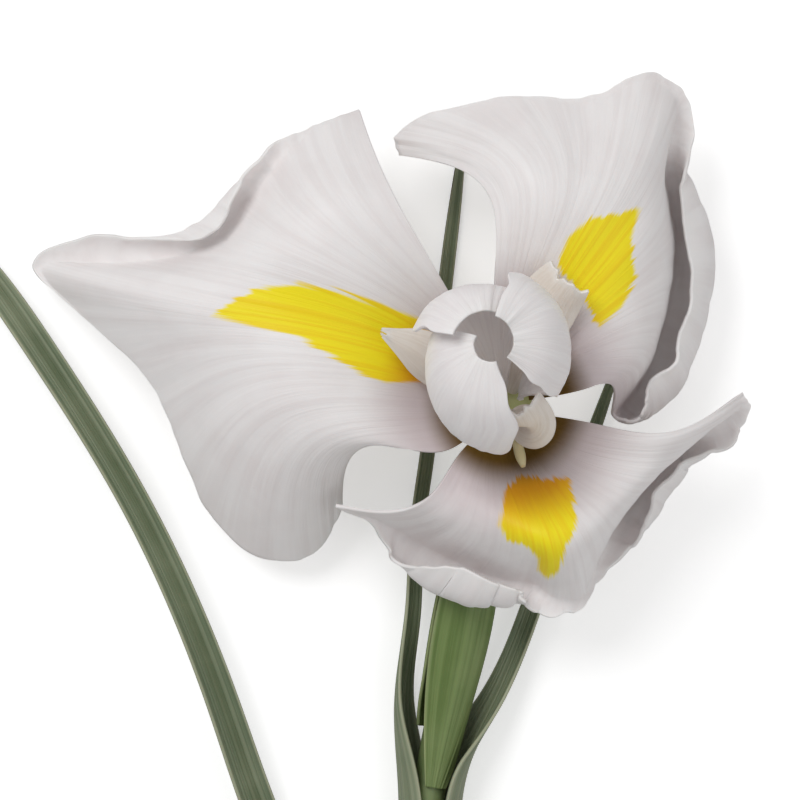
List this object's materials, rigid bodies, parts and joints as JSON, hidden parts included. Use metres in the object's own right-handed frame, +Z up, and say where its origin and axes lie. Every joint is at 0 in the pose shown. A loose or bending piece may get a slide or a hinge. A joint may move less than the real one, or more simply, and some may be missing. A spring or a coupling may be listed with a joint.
{
  "type": "iris flower",
  "caption": "Cut white iris bloom with broad falls, a half-open centre, bracts and narrow leaves, lying on its stem with its face up.",
  "frame": {"origin": "middle of the whole flower's box, on the surface that it lies on", "axes": "+Z up, the way the flower faces; +Y from the stem's cut end towards the flower; +X to the right as seen from above"},
  "size_m": [0.143, 0.203, 0.0553],
  "materials": {
    "fall": "white petal with a yellow signal, satin",
    "standard": "white petal, satin",
    "style": "warm white petal, satin",
    "stamen": "pale yellow, matte",
    "tube": "pale green, satin",
    "ovary": "green, satin",
    "stem": "green, satin",
    "spathe": "fresh green with fine parallel veins",
    "leaf": "blue-green with fine parallel veins and pale edges"
  },
  "bodies": {
    "root": {"fall_left": "fall", "fall_right": "fall", "fall_lower": "fall", "standard_left": "standard", "standard_right": "standard", "standard_top": "standard", "style_arm_left": "style", "style_arm_right": "style", "style_arm_lower": "style", "stamen_left": "stamen", "stamen_right": "stamen", "stamen_lower": "stamen", "perianth_tube": "tube", "ovary": "ovary", "stem": "stem", "spathe_outer": "spathe", "spathe_inner": "spathe", "leaf_left": "leaf", "leaf_back": "leaf", "leaf_right": "leaf"}
  },
  "joints": []
}
